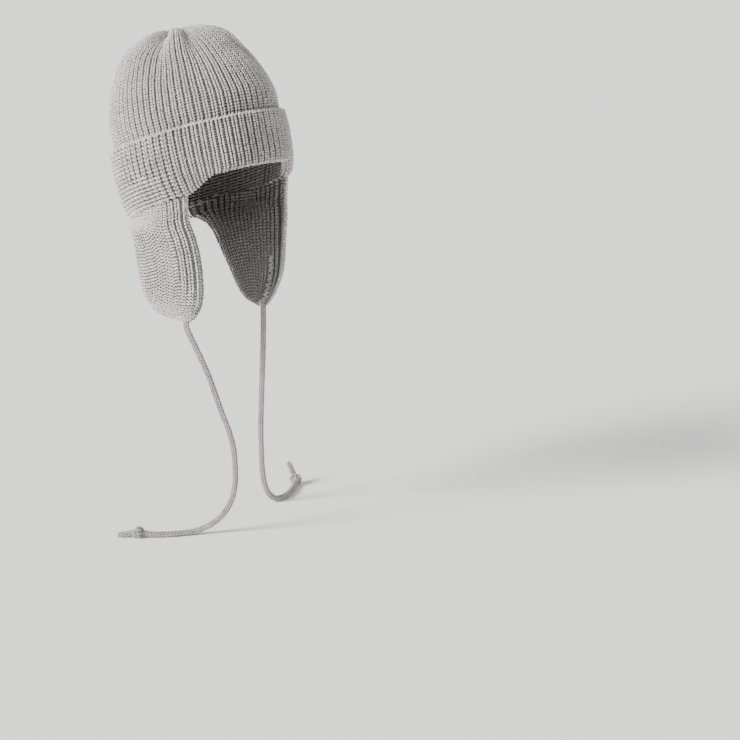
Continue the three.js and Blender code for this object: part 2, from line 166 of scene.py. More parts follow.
bandTable = {
    "level": [0, 0.25, 0.55, 0.8, 1],
    "back": [0, 0.12, 0.3, 0.65, 1],
    "width": [0.875, 0.96, 1, 0.995, 0.975],
    "length": [1, 0.99, 0.97, 0.97, 0.975],
    "tilt": [1, 0.98, 0.92, 0.93, 0.93],
    "sag": [1, 0.5, 0.15, 0, 0],
    "taper": [0.4, 0.2, 0.05, 0, 0],
    "rounding": [2.65, 2.45, 2.3, 2.25, 2.25],
}
crownTable = {
    "level": [0.03, 0.14, 0.29, 0.46, 0.62, 0.74, 0.825, 0.895, 0.94, 0.96, 0.955, 0.925],
    "back": [0, 0.12, 0.25, 0.37, 0.48, 0.59, 0.64, 0.66, 0.7, 0.78, 0.88, 0.98],
    "width": [0.905, 0.912, 0.9, 0.87, 0.805, 0.735, 0.66, 0.565, 0.45, 0.32, 0.2, 0.1],
    "length": [0.915, 0.94, 0.94, 0.875, 0.785, 0.69, 0.595, 0.485, 0.37, 0.26, 0.165, 0.09],
    "tilt": [0.97, 0.87, 0.74, 0.6, 0.47, 0.45, 0.54, 0.64, 0.74, 0.72, 0.55, 0.35],
    "fold": [0, 0, 0.03, 0.1, 0.22, 0.42, 0.65, 0.85, 0.95, 0.9, 0.62, 0.25],
    "rounding": [2.2, 2.2, 2.15, 2.1, 2.1, 2.05, 2, 2, 2, 2, 2, 2],
}
pleats = [  # angle from the front and half width, both in degrees, and depth as a share
    (30, 13, 0.8), (98, 15, 0.3), (155, 12, 0.85), (202, 14, 0.6), (290, 13, 1.0), (328, 11, 0.75),
]
flapOnRim = {-1: (68, 137), 1: (50, 137)}  # right and left, degrees from the front
sagAngles = {"before": 26, "behind": 25}


def sagAt(angle):
    # how much of the rim's sag shows at an angle: all of it over a flap
    turned = (angle + 180) % 360 - 180
    start = np.where(turned > 0, flapOnRim[1][0], flapOnRim[-1][0])
    end = flapOnRim[1][1]
    turned = np.abs(turned)
    begun = smoothed(turned, start - sagAngles["before"], start)
    return begun * (1 - smoothed(turned, end, end + sagAngles["behind"]))


def ringPoints(ring, angle):
    turn = np.radians(angle)
    forward = -signedPower(np.cos(turn), 2 / ring["rounding"])
    x = ring["halfWidth"] * signedPower(np.sin(turn), 2 / ring["rounding"])
    x = x * (1 - ring.get("taper", 0) * smoothed(forward, 0, 1))
    y = ring["halfLength"] * forward
    if ring.get("fold", 0):
        depth = 0
        for at, halfWidth, share in pleats:
            away = (angle - at + 180) % 360 - 180
            reach = halfWidth * pleatSettings["sharper"] + ring["spread"]
            depth = depth + share * np.exp(-((away / reach) ** 2))
        cut = ring["fold"] * pleatSettings["deeper"] * np.minimum(depth, 1) / np.hypot(x, y)
        kept = 1 - np.minimum(cut, pleatSettings["deepest"])
        x, y = x * kept, y * kept
    z = ring["z"] - ring["slope"] * y - ring.get("sag", 0) * sagAt(angle)
    return np.stack([x, y + ring["y"], z], -1)


def bandRing(place, inset):
    read = lambda name: float(eased(bandTable[name], np.float64(place)))
    return {
        "y": hat["bandLean"] * read("back"), "z": hat["bandHeight"] * read("level"),
        "halfWidth": hat["width"] / 2 * read("width") - inset,
        "halfLength": hat["length"] / 2 * read("length") - inset,
        "slope": tiltSlope * read("tilt"), "sag": hat["rimSag"] * read("sag"),
        "taper": read("taper"), "rounding": read("rounding"),
    }


def crownRing(place, inset):
    read = lambda name: float(eased(crownTable[name], np.float64(place)))
    lowered = min(place / pleatSettings["loweredFrom"], 1)
    return {
        "y": hat["bandLean"] + hat["crownLean"] * read("back"),
        "z": hat["bandHeight"] + hat["crownRise"] * read("level") - inset * lowered,
        "halfWidth": hat["width"] / 2 * read("width") - inset,
        "halfLength": hat["length"] / 2 * read("length") - inset,
        "slope": tiltSlope * read("tilt"), "fold": max(hat["foldDepth"] * read("fold"), 0),
        "rounding": read("rounding"),
        "spread": pleatSettings["innerSpread"] if inset > pleatSettings["innerFrom"] else 0,
    }


def ringRow(ring, count, angles=False, fineSteps=2400):
    # points at equal steps round a ring, from the nape, or their angles from the front
    turn = 180 + 360 * np.arange(fineSteps + 1) / fineSteps
    points = ringPoints(ring, turn)
    along = runAlong(points)
    target = along[-1] * np.arange(count) / count
    if angles:
        return (np.interp(target, along, turn) + 180) % 360 - 180
    return readAlong(target, along, points)


def evenRows(grid, count):
    # the same surface with rows at equal steps along each column, and each one's place in the grid
    step = np.linalg.norm(np.diff(grid, axis=0), axis=2)
    along = np.concatenate([np.zeros((1, grid.shape[1])), np.cumsum(step, 0)])
    made, place = np.empty((count, grid.shape[1], 3)), np.empty((count, grid.shape[1]))
    for column in range(grid.shape[1]):
        target = along[-1, column] * (np.arange(count) + 0.5) / count
        place[:, column] = np.interp(target, along[:, column], np.arange(len(grid)))
        made[:, column] = readAlong(target, along[:, column], grid[:, column])
    return made, place


def surfaceFrames(grid):
    # tangents across and along, and the normal, at each point of a grid whose rows go round
    across = (np.roll(grid, -1, 1) - np.roll(grid, 1, 1)) / 2
    along = np.gradient(grid, axis=0)
    return across, along, unit(np.cross(across, along))


# Small yarn shapes, copied along the knit

def grainShape(around, rings):
    # a ball of few faces, as points and triangles
    shape = bmesh.new()
    bmesh.ops.create_uvsphere(shape, u_segments=around, v_segments=rings, radius=1)
    bmesh.ops.triangulate(shape, faces=shape.faces)
    points = np.array([corner.co[:] for corner in shape.verts])
    faces = np.array([[corner.index for corner in face.verts] for face in shape.faces])
    shape.free()
    return points, faces


def copyGrains(shape, place, across, along, out, toneAt=0):
    # one copy of the shape at every place, its axes along the three given vectors
    points, faces = shape
    count = len(place)
    made = (place[:, None] + points[None, :, 0, None] * across[:, None]
            + points[None, :, 1, None] * along[:, None] + points[None, :, 2, None] * out[:, None])
    index = faces[None] + (np.arange(count) * len(points))[:, None, None]
    tone = np.repeat(rng.normal(toneAt, 1, count), len(points))
    return made.reshape(-1, 3), index.reshape(-1, 3), tone


def joinGrains(parts):
    # all copies as one mesh's points, faces and tones
    points, faces, tones, start = [], [], [], 0
    for made, index, tone in parts:
        points.append(made)
        faces.append(index + start)
        tones.append(tone)
        start += len(made)
    return np.concatenate(points), np.concatenate(faces), np.concatenate(tones)


def meshPiece(name, points, faces, tone):
    # an object of joined copies, its points given in millimetres
    mesh = bpy.data.meshes.new(name)
    mesh.vertices.add(len(points))
    mesh.vertices.foreach_set("co", (points * millimetre).astype(np.float32).ravel())
    size = faces.shape[1]
    mesh.loops.add(faces.size)
    mesh.loops.foreach_set("vertex_index", faces.astype(np.int32).ravel())
    mesh.polygons.add(len(faces))
    mesh.polygons.foreach_set("loop_start", np.arange(0, faces.size, size, dtype=np.int32))
    mesh.polygons.foreach_set("use_smooth", np.full(len(faces), True))
    mesh.update(calc_edges=True)
    mesh.attributes.new("tone", "FLOAT", "POINT").data.foreach_set("value", tone.astype(np.float32))
    piece = bpy.data.objects.new(name, mesh)
    scene.collection.objects.link(piece)
    return piece


legShape = grainShape(around=6, rings=4)
bumpShape = grainShape(around=5, rings=3)


def knitStitches(place, across, along, out, fuller=1.0, opened=0.0):
    # a V of two legs at every place; across is as wide as a stitch and along as high as a row.
    # fuller makes the legs wider, and opened spreads the V
    pitch = np.linalg.norm(across, axis=-1, keepdims=True)
    sideways, onwards = unit(across), unit(along)
    height = np.linalg.norm(along, axis=-1, keepdims=True)
    count = len(place)
    wander = lambda name: rng.normal(0, stitch[name] * stitch["jitter"], (count, 1))
    slant = np.radians(stitch["slant"] + stitch["openSlant"] * opened)
    full = np.minimum(pitch / stitch["fullPitch"], 1)
    parts = []
    for side in (-1, 1):
        legAlong = np.cos(slant) * onwards + side * np.sin(slant) * sideways
        legAcross = np.cos(slant) * sideways - side * np.sin(slant) * onwards
        legAlong = unit(legAlong + stitch["legLean"] * out + wander("leanJitter") * sideways)
        at = place + sideways * side * stitch["legAside"] * pitch
        at = at + out * wander("outJitter")
        at = at + onwards * wander("alongJitter")
        at = at + sideways * wander("asideJitter")
        parts.append(copyGrains(
            legShape, at, legAcross * stitch["legHalfWidth"] * fuller * pitch,
            legAlong * stitch["legHalfLength"] * height, out * stitch["legDepth"] * full))
    return parts


def purlBumps(place, across, along, out, depth):
    # the bars that show deep between two ribs, darkened with painted shade
    pitch = np.linalg.norm(across, axis=-1, keepdims=True)
    height = np.linalg.norm(along, axis=-1, keepdims=True)
    full = np.minimum(pitch / stitch["fullPitch"], 1)
    at = place - out * depth + unit(along) * rng.normal(0, stitch["jitter"], (len(place), 1))
    return [copyGrains(bumpShape, at, unit(across) * stitch["bumpHalfWidth"] * pitch,
                       unit(along) * stitch["bumpHalfLength"] * height,
                       out * stitch["bumpDepth"] * full, stitch["bumpPaintedShade"])]


def ribbedKnit(place, across, along, out, ribbing, isRib):
    # one set of columns, either those that stand up as ribs or those between them
    ribbing = ribbing[..., None]
    opened = smoothed(ribbing, *ribShape["openWhenUnder"])
    if isRib:
        wide = ribShape["widthWhenPlain"] + ribShape["widthFromRibs"] * ribbing
        wide = np.clip(wide, ribShape["narrowest"], 1)
        fuller = ribShape["fullness"] - ribShape["lessWhenWide"] * wide
        raised = place + out * ribbing * ribShape["raised"]
        return knitStitches(raised, across * wide, along, out, fuller, opened)
    deep = ribbing[..., 0] > ribShape["deepOver"]
    flat = ~deep
    parts = []
    if deep.any():
        valley = stitch["valley"] * ribbing[deep]
        parts += purlBumps(place[deep], across[deep], along[deep], out[deep], valley)
    if flat.any():
        sunk = place[flat] - out[flat] * ribbing[flat] * ribShape["sunk"]
        narrow = across[flat] * ribShape["narrowest"]
        parts += knitStitches(sunk, narrow, along[flat], out[flat], ribShape["sunkFullness"], opened[flat])
    return parts


# Wool: a heather of two shades, clouded, with each stitch a little lighter or darker. The ground and inside
# materials are painted shade, and some grains' tones are painted shade or a painted highlight.

woolSettings = {
    "light": (0.68, 0.668, 0.63), "dark": (0.47, 0.46, 0.43),
    # deep and deepDark are painted shade: the dark of the recesses behind the stitches
    "deep": (0.21, 0.203, 0.187), "deepDark": 0.6,
    "heatherScale": 900, "heatherDetail": 3, "heatherRange": (0.36, 0.62),
    "cloudScale": 45, "cloudDetail": 2, "cloudRange": (0.3, 0.7),
    "cloudTints": ((0.9, 0.9, 0.895), (1.06, 1.055, 1.05)),
    "toneRange": (-5, 5), "toneShades": (0.55, 1.45),
    "fibreScale": 3200, "fibreDetail": 4, "fibreBump": 0.5, "fibreDepth": 0.0003,
    "roughness": 0.92, "sheen": 0.25, "sheenRoughness": 0.55, "specular": 0.2,
}


def woolMaterial(name, shade=1.0, deep=False):
    # deep wool is painted shade: the dark of the ground behind the stitches, and it has no tone of its own
    # per stitch
    wool = woolSettings
    material = bpy.data.materials.new(name)
    material.use_nodes = True
    nodes, links = material.node_tree.nodes, material.node_tree.links
    shader = nodes["Principled BSDF"]
    coordinates = nodes.new("ShaderNodeTexCoord")

    def noise(scale, detail):
        node = nodes.new("ShaderNodeTexNoise")
        node.inputs["Scale"].default_value = scale
        node.inputs["Detail"].default_value = detail
        links.new(coordinates.outputs["Object"], node.inputs["Vector"])
        return node.outputs["Fac"]

    def ramp(source, positions, colours):
        node = nodes.new("ShaderNodeValToRGB")
        for stop, position, colour in zip(node.color_ramp.elements, positions, colours):
            stop.position = position
            stop.color = (*colour, 1)
        links.new(source, node.inputs["Fac"])
        return node.outputs["Color"]

    def multiplied(first, second):
        node = nodes.new("ShaderNodeMix")
        node.data_type = "RGBA"
        node.blend_type = "MULTIPLY"
        node.inputs["Factor"].default_value = 1
        links.new(first, node.inputs["A"])
        links.new(second, node.inputs["B"])
        return node.outputs["Result"]

    light = [part * shade for part in wool["deep" if deep else "light"]]
    dark = [part * shade * (wool["deepDark"] if deep else 1) for part in wool["deep" if deep else "dark"]]
    heather = ramp(noise(wool["heatherScale"], wool["heatherDetail"]), wool["heatherRange"], (dark, light))
    cloud = ramp(noise(wool["cloudScale"], wool["cloudDetail"]), wool["cloudRange"], wool["cloudTints"])
    colour = multiplied(heather, cloud)
    if not deep:
        # each stitch's tone: random, and on some grains painted shade or a painted highlight
        tone = nodes.new("ShaderNodeAttribute")
        tone.attribute_name = "tone"
        shift = nodes.new("ShaderNodeMapRange")
        shift.inputs["From Min"].default_value = wool["toneRange"][0]
        shift.inputs["From Max"].default_value = wool["toneRange"][1]
        shift.inputs["To Min"].default_value = wool["toneShades"][0]
        shift.inputs["To Max"].default_value = wool["toneShades"][1]
        links.new(tone.outputs["Fac"], shift.inputs["Value"])
        colour = multiplied(colour, shift.outputs["Result"])
    links.new(colour, shader.inputs["Base Color"])
    shader.inputs["Roughness"].default_value = wool["roughness"]
    shader.inputs["Sheen Weight"].default_value = wool["sheen"]
    shader.inputs["Sheen Roughness"].default_value = wool["sheenRoughness"]
    shader.inputs["Specular IOR Level"].default_value = wool["specular"]
    bump = nodes.new("ShaderNodeBump")
    bump.inputs["Strength"].default_value = wool["fibreBump"]
    bump.inputs["Distance"].default_value = wool["fibreDepth"]
    links.new(noise(wool["fibreScale"], wool["fibreDetail"]), bump.inputs["Height"])
    links.new(bump.outputs["Normal"], shader.inputs["Normal"])
    return material


crownWool = woolMaterial("crown wool")
bandWool = woolMaterial("band wool")
flapWool = woolMaterial("flap wool")
cordWool = woolMaterial("cord wool", shade=0.74)
# the ground behind the stitches and the cords' cores: painted shade
groundShadeWool = woolMaterial("ground painted shade", deep=True)
# the inner faces' stitches: the same wool darkened with painted shade
innerShadeWool = woolMaterial("inner painted shade", shade=0.56)
# the inside of the hat: darker painted shade
insideShadeWool = woolMaterial("inside painted shade", shade=0.4, deep=True)
print("wool materials made")


def shapePiece(name, shape):
    # an object of a finished bmesh
    mesh = bpy.data.meshes.new(name)
    shape.to_mesh(mesh)
    shape.free()
    piece = bpy.data.objects.new(name, mesh)
    scene.collection.objects.link(piece)
    return piece


def finishPiece(piece, material, slotName, *nodes):
    # gives a piece its material and body, and hides the solids that it stands for; slotName is not used
    piece.data.materials.append(material)
    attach(piece, "root")
    if nodes:
        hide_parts(*nodes)
    return piece


# Tie cords. Lengths are in metres, except that the stitches' radius, depth and jitter are in
# millimetres, and their widths and half length are shares of a column and of a row. A route
# starts where the cord leaves its flap.

cordSettings = {
    "diameter": 0.006, "core": 0.0024, "sides": 12, "columns": 4, "rowHeight": 0.0031,
    "knitRadius": 2.35, "slant": 24, "lean": 0.12, "legAside": 0.24, "legHalfWidth": 0.24,
    "legHalfLength": 0.74, "legDepth": 0.75, "jitter": 0.08, "closedEnd": 0.55,
}
cordExits = {"right": (-0.056, -0.0305, -0.1298), "left": (0.056, -0.033, -0.1298)}
cordRoutes = {
    "right": [
        (0, 0, 0), (0.0001, -0.0003, -0.007), (0.0018, -0.0044, -0.017), (0.004, -0.0092, -0.027),
        (0.0074, -0.0154, -0.0415), (0.0122, -0.0208, -0.0587), (0.0174, -0.0264, -0.0807),
        (0.022, -0.031, -0.0996), (0.0263, -0.0352, -0.1155), (0.0294, -0.0384, -0.132),
        (0.0308, -0.0398, -0.149), (0.0309, -0.0402, -0.169), (0.0282, -0.0382, -0.188),
        (0.022, -0.0332, -0.2035), (0.0126, -0.025, -0.215), (0, -0.016, -0.2214),
        (-0.012, -0.009, -0.223), (-0.024, -0.0018, -0.223), (-0.0335, 0.0054, -0.223),
        (-0.0398, 0.0112, -0.2226), (-0.045, 0.0166, -0.2214),
    ],
    "left": [
        (0, 0, 0), (0.0006, 0.0006, -0.012), (0.002, 0.0016, -0.031), (0.0032, 0.0038, -0.069),
        (0.0044, 0.0064, -0.108), (0.006, 0.0084, -0.142), (0.008, 0.0094, -0.1635),
        (0.0102, 0.01, -0.185), (0.0134, 0.0094, -0.203), (0.0185, 0.0074, -0.2156),
        (0.026, 0.0052, -0.2218), (0.0345, 0.0046, -0.223), (0.045, 0.0066, -0.223),
        (0.0552, 0.0112, -0.223), (0.065, 0.0168, -0.223), (0.0735, 0.0222, -0.223),
        (0.0792, 0.026, -0.2226), (0.084, 0.0294, -0.2214),
    ],
}
knotSettings = {
    "wrapRadius": 0.0037, "turns": 1.7, "phase": 2.4, "middle": 0.00675, "halfSpan": 0.0026,
    "points": 22, "entry": ((0.001, 0, 0), (0.0025, -0.0006, 0.0006)), "tail": 0.020, "tailFrom": 0.2,
    "right": {"rise": -0.33, "turn": 0.0}, "left": {"rise": 0.98, "turn": 0.9},
    "knitStep": 0.0029, "knitRadius": 2.3, "sides": 10,
    "wrapCore": 0.0023, "wrapStep": 0.0012, "tailCore": 0.0022, "tailStep": 0.003,
}


def smoothLine(points, step, between=24):
    # a centripetal Catmull-Rom curve through the points, cut at equal steps
    points = np.asarray(points, float)
    knots = np.concatenate([[0], np.cumsum(np.linalg.norm(np.diff(points, axis=0), axis=1) ** 0.5)])
    padded = np.vstack([2 * points[0] - points[1], points, 2 * points[-1] - points[-2]])
    times = np.concatenate([[2 * knots[0] - knots[1]], knots, [2 * knots[-1] - knots[-2]]])
    fine = []
    for first in range(len(padded) - 3):
        t0, t1, t2, t3 = times[first:first + 4]
        p0, p1, p2, p3 = padded[first:first + 4]
        t = np.linspace(t1, t2, between, endpoint=False)[:, None]
        a1 = (t1 - t) / (t1 - t0) * p0 + (t - t0) / (t1 - t0) * p1
        a2 = (t2 - t) / (t2 - t1) * p1 + (t - t1) / (t2 - t1) * p2
        a3 = (t3 - t) / (t3 - t2) * p2 + (t - t2) / (t3 - t2) * p3
        b1 = (t2 - t) / (t2 - t0) * a1 + (t - t0) / (t2 - t0) * a2
        b2 = (t3 - t) / (t3 - t1) * a2 + (t - t1) / (t3 - t1) * a3
        fine.append((t2 - t) / (t2 - t1) * b1 + (t - t1) / (t2 - t1) * b2)
    fine = np.vstack([*fine, points[-1:]])
    along = runAlong(fine)
    count = max(int(round(along[-1] / step)), 2)
    return readAlong(np.linspace(0, along[-1], count + 1), along, fine)


def lineFrames(line):
    # a frame carried along the line without twisting
    tangent = unit(np.gradient(line, axis=0))
    side = np.cross(tangent[0], (0, 0, 1) if abs(tangent[0][2]) < 0.9 else (1, 0, 0))
    sides = []
    for direction in tangent:
        side = side - direction * np.dot(side, direction)
        side = side / np.linalg.norm(side)
        sides.append(side)
    sides = np.array(sides)
    return tangent, sides, np.cross(tangent, sides)


def tubeAlong(name, line, radius, sides):
    # a capped circle, extruded from point to point of the line, turned with it and capped again
    frames = []
    for point, ahead, right, up in zip(line, *lineFrames(line)):
        turned = Matrix((-up, right, ahead)).transposed().to_4x4()
        frames.append(Matrix.Translation(Vector(point)) @ turned)
    shape = bmesh.new()
    bmesh.ops.create_circle(shape, cap_ends=True, segments=sides, radius=radius, matrix=frames[0])
    edges = shape.edges[:]
    for before, after in zip(frames, frames[1:]):
        grown = bmesh.ops.extrude_edge_only(shape, edges=edges)["geom"]
        corners = [part for part in grown if isinstance(part, bmesh.types.BMVert)]
        edges = [part for part in grown if isinstance(part, bmesh.types.BMEdge) and part.is_boundary]
        bmesh.ops.transform(shape, matrix=after @ before.inverted(), verts=corners)
    bmesh.ops.edgeloop_fill(shape, edges=edges)
    bmesh.ops.recalc_face_normals(shape, faces=shape.faces)
    for face in shape.faces:
        face.smooth = True
    return shapePiece(name, shape)


def cordKnit(line, radius, closeEnd=False):
    # V stitches in columns round a line, in millimetres
    tangent, sideA, sideB = lineFrames(line)
    columns = cordSettings["columns"]
    slant = np.radians(cordSettings["slant"])
    reach = np.ones(len(line))
    if closeEnd:
        reach[-1] = cordSettings["closedEnd"]
    rowHeight = np.linalg.norm(np.gradient(line, axis=0), axis=1)[:, None]
    parts = []
    for column in range(columns):
        turn = 2 * np.pi * (column + 0.5) / columns
        out = np.cos(turn) * sideA + np.sin(turn) * sideB
        across = np.cross(tangent, out) * 2 * np.pi * radius / columns
        width = np.linalg.norm(across, axis=1)[:, None]
        at = line + out * (radius * reach)[:, None]
        for side in (-1, 1):
            legAlong = np.cos(slant) * tangent + side * np.sin(slant) * unit(across)
            legAlong = unit(legAlong + cordSettings["lean"] * out)
            legAcross = np.cos(slant) * unit(across) - side * np.sin(slant) * tangent
            legAt = at + across * side * cordSettings["legAside"]
            legAt = legAt + rng.normal(0, cordSettings["jitter"], at.shape)
            parts.append(copyGrains(
                legShape, legAt, legAcross * cordSettings["legHalfWidth"] * width,
                legAlong * cordSettings["legHalfLength"] * rowHeight, out * cordSettings["legDepth"]))
    return parts


def knotLines(side, line):
    # the overhand knot at the line's end: a wrap round itself, and a tail out through its middle
    knot, tail = knotSettings, knotSettings[side]
    along = unit(line[-1] - line[-2])
    level = unit(np.array([along[0], along[1], 0]))
    sideways = np.array([-level[1], level[0], 0])
    axes = np.array([along, sideways, np.cross(along, sideways)])
    share = np.linspace(0, 1, knot["points"])
    angle = 2 * np.pi * knot["turns"] * share + knot["phase"]
    helix = np.stack([
        knot["middle"] + knot["halfSpan"] * (2 * share - 1),
        knot["wrapRadius"] * np.cos(angle),
        knot["wrapRadius"] * np.sin(angle),
    ], -1)
    middle = np.array([knot["middle"], 0, 0])
    flat = knot["tail"] * np.cos(tail["rise"])
    reach = np.array([
        flat * np.cos(tail["turn"]), flat * np.sin(tail["turn"]), knot["tail"] * np.sin(tail["rise"]),
    ])
    wrapPoints = np.vstack([knot["entry"], helix])
    tailPoints = np.vstack([middle * knot["tailFrom"], middle, middle + reach / 2, middle + reach])
    return line[-1] + wrapPoints @ axes, line[-1] + tailPoints @ axes


def tieCord(side):
    knot = knotSettings
    exitPoint = np.array(cordExits[side])
    line = smoothLine(np.array(cordRoutes[side]) + exitPoint, cordSettings["rowHeight"])
    # the core shows between the cord's stitches in the ground's painted shade
    cord = tubeAlong("cordCore_" + side, line, cordSettings["core"], cordSettings["sides"])
    finishPiece(cord, groundShadeWool, "cord_knit", "cord_" + side)
    rows = cordKnit(line / millimetre, cordSettings["knitRadius"])
    knit = finishPiece(meshPiece("cordKnit_" + side, *joinGrains(rows)), cordWool, "cord_knit")

    wrapPoints, tailPoints = knotLines(side, line)
    wrapLine = smoothLine(wrapPoints, knot["wrapStep"])
    tailLine = smoothLine(tailPoints, knot["tailStep"])
    knotCore = tubeAlong("knotCore_" + side, wrapLine, knot["wrapCore"], knot["sides"])
    tailCore = tubeAlong("tailCore_" + side, tailLine, knot["tailCore"], knot["sides"])
    for core in (knotCore, tailCore):
        finishPiece(core, groundShadeWool, "cord_knit", "knot_" + side)
    parts = cordKnit(smoothLine(wrapPoints, knot["knitStep"]) / millimetre, knot["knitRadius"])
    tailKnitLine = smoothLine(tailPoints, knot["knitStep"]) / millimetre
    parts += cordKnit(tailKnitLine, knot["knitRadius"], closeEnd=True)
    knotKnit = finishPiece(meshPiece("knotKnit_" + side, *joinGrains(parts)), cordWool, "cord_knit")


for side in ("right", "left"):
    tieCord(side)

# Walls behind the stitches, in painted shade


def wallPiece(name, rows, slotName, node, innerRows=0, closed=False, innerHalf=False):
    # a grid laid over rows of points that each go round, in the ground's painted shade. The first
    # innerRows rows of its faces get the inside's darker painted shade, and with innerHalf the second half
    # of every row does. A closed wall runs on from its last row to its first, and any other has a cap at
    # both ends.
    rows = rows + rows[:1] if closed else rows
    steps = len(rows[0])
    shape = bmesh.new()
    bmesh.ops.create_grid(shape, x_segments=steps, y_segments=len(rows) - 1, size=1)
    shape.verts.ensure_lookup_table()
    firstCorner = shape.verts[1]
    for index, corner in enumerate(shape.verts):
        row, step = divmod(index, steps + 1)
        corner.co = rows[row][step % steps] * millimetre
    for index, face in enumerate(shape.faces):
        row, step = divmod(index, steps)
        face.material_index = int(row < innerRows or (innerHalf and step >= steps // 2))
        face.smooth = True
    bmesh.ops.remove_doubles(shape, verts=shape.verts, dist=1e-7)
    ends = [edge for edge in shape.edges if edge.is_boundary]
    if ends:
        for cap in bmesh.ops.edgeloop_fill(shape, edges=ends)["faces"]:
            cap.material_index = int(innerRows > 0 and firstCorner in cap.verts[:])
    bmesh.ops.recalc_face_normals(shape, faces=shape.faces)
    piece = shapePiece(name, shape)
    finishPiece(piece, groundShadeWool, slotName, node)
    piece.data.materials.append(insideShadeWool)
    return piece


def ribbedRow(ring, swell, pointsPerRib=4):
    # a ring with the ribs' swell
    columns = hat["ribs"] * pointsPerRib
    points = ringRow(ring, columns)
    tangent = unit(np.roll(points, -1, 0) - np.roll(points, 1, 0))
    outward = unit(np.stack([tangent[:, 1], -tangent[:, 0], np.zeros(columns)], -1))
    wave = np.cos(2 * np.pi * np.arange(columns) * hat["ribs"] / columns)
    return points + outward * (swell * wave)[:, None]


def ribbedPieces(name, grid, ribbing, keep, count, wool, slotName):
    # stitches on the kept points of a grid that goes round, as count pieces: in each, the ribs
    # first and then the columns between them
    across, along, out = surfaceFrames(grid)
    fields = (grid, across * 2, along, out)
    columns = halfColumns // count
    pieces = []
    for part in range(count):
        parts = []
        for first in (0, 1):
            mine = slice(part * columns + first, (part + 1) * columns, 2)
            kept = keep[:, mine]
            picked = [field[:, mine][kept] for field in fields]
            parts += ribbedKnit(*picked, ribbing[:, mine][kept], first == 0)
        piece = meshPiece(name + "_" + str(part + 1), *joinGrains(parts))
        pieces.append(finishPiece(piece, wool, slotName))
    return pieces


# Crown. Places are rows of the ring tables, and insets and swells millimetres.

skirtInset = hat["bandWall"] + hat["gap"]
bandWalls = skirtInset + hat["crownWall"]
halfColumns = hat["ribs"] * 2
crownSettings = {
    "rows": 52, "gores": 4, "inset": 0.4, "to": 10.8, "steps": 150,
    "tuck": {"places": (3.72, 3.86), "inset": 0.6},
    "ribbing": {"least": 0.75, "between": (30, 90)},
    "skirt": (2.6, 3.2, 3.8),
    "inside": {"from": 9.2, "to": 0.1, "steps": 48, "swell": -0.9},
    "ground": {"to": 10.9, "steps": 70, "inset": 2.2, "swell": 0.3, "skirtSwell": 0.1},
}
# the gather's tone darkens its loops: painted shade where the crown is drawn in
gatherSettings = {
    "place": 10.9, "rounds": ((1.2, 5, 1.2), (3.4, 10, 0.6), (5.4, 15, 0.0)),  # reach, loops, drop
    "halfWidth": 1.1, "halfLength": 2.0, "depth": 1.2, "raised": 0.35, "jitter": 0.1, "tone": -0.5,
}


def crownStitches():
    # they start a little way down inside the band
    tuck = crownSettings["tuck"]
    path = [bandRing(place, skirtInset + tuck["inset"]) for place in tuck["places"]]
    places = np.linspace(0, crownSettings["to"], crownSettings["steps"])
    path += [crownRing(place, crownSettings["inset"]) for place in places]
    grid, place = evenRows(np.array([ringRow(ring, halfColumns) for ring in path]), crownSettings["rows"])
    least = crownSettings["ribbing"]["least"]
    ribbing = least + (1 - least) * smoothed(place, *crownSettings["ribbing"]["between"])
    keep = np.full(place.shape, True)
    gores = crownSettings["gores"]
    return ribbedPieces("crownKnit", grid, ribbing, keep, gores, crownWool, "crown_knit")


def gatherLoops():
    # the drawn-in middle of the gather: short loops that lean into it, a little darker with painted shade
    middle = ringRow(crownRing(gatherSettings["place"], 0), 12).mean(0)
    parts = []
    for reach, count, drop in gatherSettings["rounds"]:
        turn = 2 * np.pi * (np.arange(count) + rng.normal(0, gatherSettings["jitter"], count)) / count
        radial = np.stack([np.cos(turn), np.sin(turn), np.zeros(count)], -1)
        aside = np.stack([-np.sin(turn), np.cos(turn), np.zeros(count)], -1)
        raised = unit(radial + np.array([0, 0, gatherSettings["raised"]]))
        parts.append(copyGrains(
            legShape, middle + radial * reach - [0, 0, drop], aside * gatherSettings["halfWidth"],
            raised * gatherSettings["halfLength"], np.cross(aside, raised) * gatherSettings["depth"],
            gatherSettings["tone"]))
    return finishPiece(meshPiece("crownGather", *joinGrains(parts)), crownWool, "crown_knit")


def crownSkins():
    # down the inside of the crown and its skirt, in the inside's painted shade, then up the ground behind
    # the stitches, in the ground's painted shade
    inside, ground, skirt = crownSettings["inside"], crownSettings["ground"], crownSettings["skirt"]
    rows = []
    for place in np.linspace(inside["from"], inside["to"], inside["steps"]):
        rows.append(ribbedRow(crownRing(place, hat["crownWall"]), inside["swell"]))
    for place in skirt[::-1]:
        rows.append(ribbedRow(bandRing(place, bandWalls), inside["swell"]))
    innerRows = len(rows) - 1
    for place in skirt:
        rows.append(ribbedRow(bandRing(place, skirtInset + ground["inset"]), ground["skirtSwell"]))
    for place in np.linspace(0, ground["to"], ground["steps"]):
        rows.append(ribbedRow(crownRing(place, ground["inset"]), ground["swell"]))
    return wallPiece("crownWall", rows, "crown_knit", "crown", innerRows)


crownPieces = crownStitches()
crownPieces.append(gatherLoops())
crownWall = crownSkins()
print("crown made")

# Band. Its lower edge is rolled from the inside to the outside, and over a flap it runs straight.

